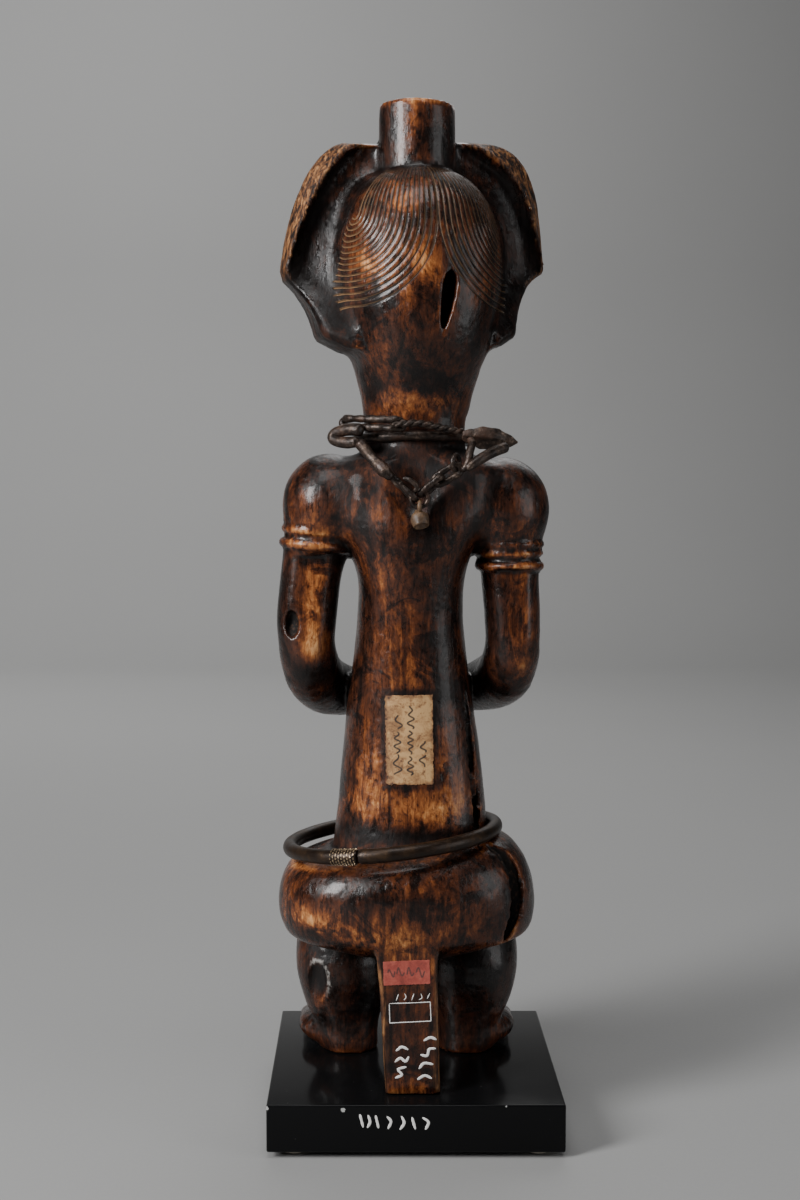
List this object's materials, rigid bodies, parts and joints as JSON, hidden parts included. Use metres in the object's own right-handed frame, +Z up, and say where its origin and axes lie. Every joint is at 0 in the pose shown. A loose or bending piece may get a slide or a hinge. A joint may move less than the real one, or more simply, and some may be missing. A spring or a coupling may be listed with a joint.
{
  "type": "carved guardian figure",
  "caption": "Seated carved wooden guardian figure with winged hair, neck chain and waist ring, its rear post on a low black plinth.",
  "frame": {"origin": "middle of the bottom, on the plane that the four rubber pads stand on", "axes": "+Z up along the figure, +Y the way the figure faces, +X towards its right hand"},
  "size_m": [0.16, 0.16, 0.5686],
  "materials": {
    "wood": "dark oiled patina, polished, worn to bare wood on the rims",
    "bronze": "dark brown patina",
    "iron": "hammered, brown with age",
    "paper": "aged, stained",
    "red_paper": "faded red",
    "black_gloss": "black gloss",
    "rubber": "cream, matte"
  },
  "bodies": {
    "root": {"carved_figure": "wood", "waist_ring": "bronze", "neck_ring": "iron", "twisted_wire": "iron", "left_loop": "iron", "left_rod": "iron", "small_hook": "iron", "chain_hook": "iron", "right_rod": "iron", "long_link": "iron", "wire_link": "iron", "lower_link": "iron", "upper_link": "iron", "lower_ring": "iron", "small_ring": "iron", "leaf_plate": "iron", "pendant": "iron", "paper_slip": "paper", "red_slip": "red_paper", "plinth": "black_gloss", "rubber_pad_rear_left": "rubber", "rubber_pad_rear_right": "rubber", "rubber_pad_front_left": "rubber", "rubber_pad_front_right": "rubber"}
  },
  "joints": []
}
